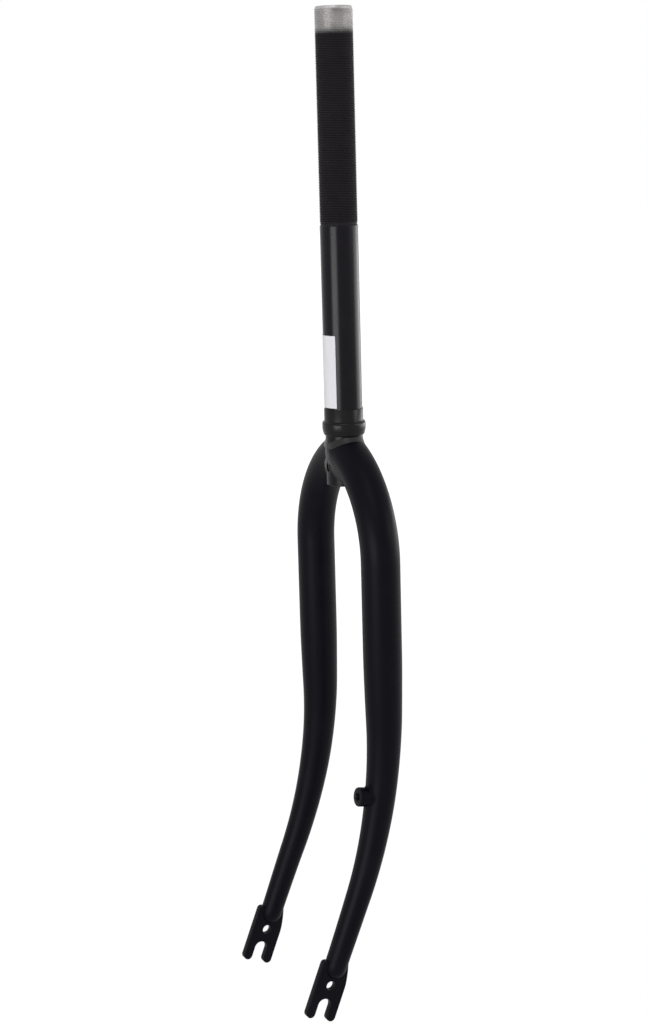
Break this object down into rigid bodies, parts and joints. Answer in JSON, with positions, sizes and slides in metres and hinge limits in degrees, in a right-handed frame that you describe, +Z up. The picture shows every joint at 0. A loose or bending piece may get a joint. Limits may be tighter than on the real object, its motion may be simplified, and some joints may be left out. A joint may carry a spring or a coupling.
{
  "type": "bicycle fork",
  "caption": "Rigid bicycle fork with a long threaded steerer tube and two round raked blades that end in open slotted dropouts.",
  "frame": {"origin": "centre of the crown race seat's lower face, on the steerer's axis", "axes": "+Z up along the steerer, -Y forward the way the blades rake, +X towards the rider's left"},
  "size_m": [0.1242, 0.0812, 0.673],
  "materials": {
    "steerer_black": "gloss black paint below, dull blackened thread above, bare steel at the top",
    "black_paint": "gloss black paint",
    "label_paper": "plain coated paper"
  },
  "bodies": {
    "root": {"steerer_tube": "steerer_black", "crown_race_ring": "black_paint", "left_blade": "black_paint", "right_blade": "black_paint", "left_dropout": "black_paint", "right_dropout": "black_paint", "left_crown_weld": "black_paint", "right_crown_weld": "black_paint", "lamp_boss": "black_paint", "paper_label": "label_paper"}
  },
  "joints": []
}
